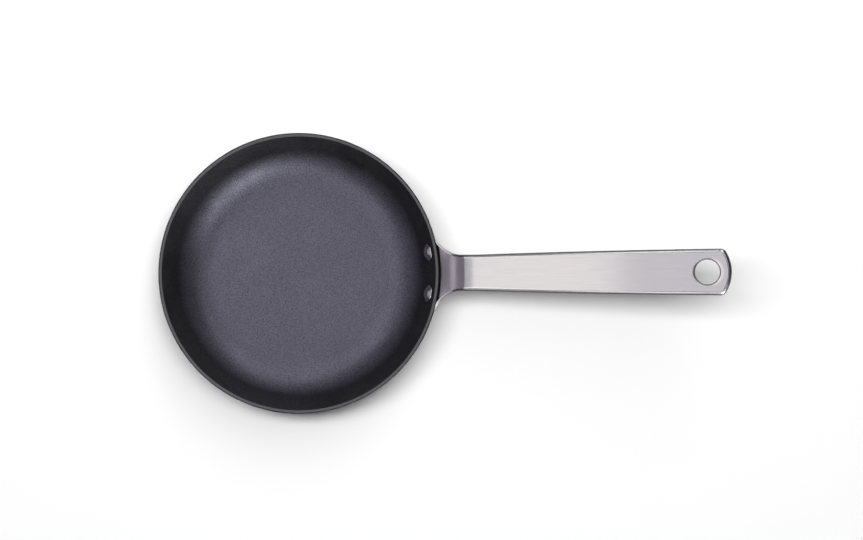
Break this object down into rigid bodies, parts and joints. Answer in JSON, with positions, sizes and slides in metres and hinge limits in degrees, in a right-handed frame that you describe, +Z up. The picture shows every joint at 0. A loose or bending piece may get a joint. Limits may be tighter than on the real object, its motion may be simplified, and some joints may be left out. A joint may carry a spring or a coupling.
{
  "type": "frying pan",
  "caption": "Round shallow frying pan with a curved side and a flat rim, and a long riveted steel strap handle with a turned-down edge and a hanging hole.",
  "frame": {"origin": "centre of the pan's standing face, on the axis of the pan", "axes": "+X from the pan's axis towards the end of the handle, +Z up out of the pan, +Y to the right for a person who holds the handle"},
  "size_m": [0.4021, 0.2, 0.0928],
  "materials": {
    "pan_body": "matt dark grey granular coating on the casting",
    "handle": "stainless, brushed lengthwise",
    "rivet_left": "stainless, satin",
    "rivet_right": "stainless, satin"
  },
  "bodies": {
    "root": {"pan_body": "pan_body", "handle": "handle", "rivet_left": "rivet_left", "rivet_right": "rivet_right"}
  },
  "joints": []
}
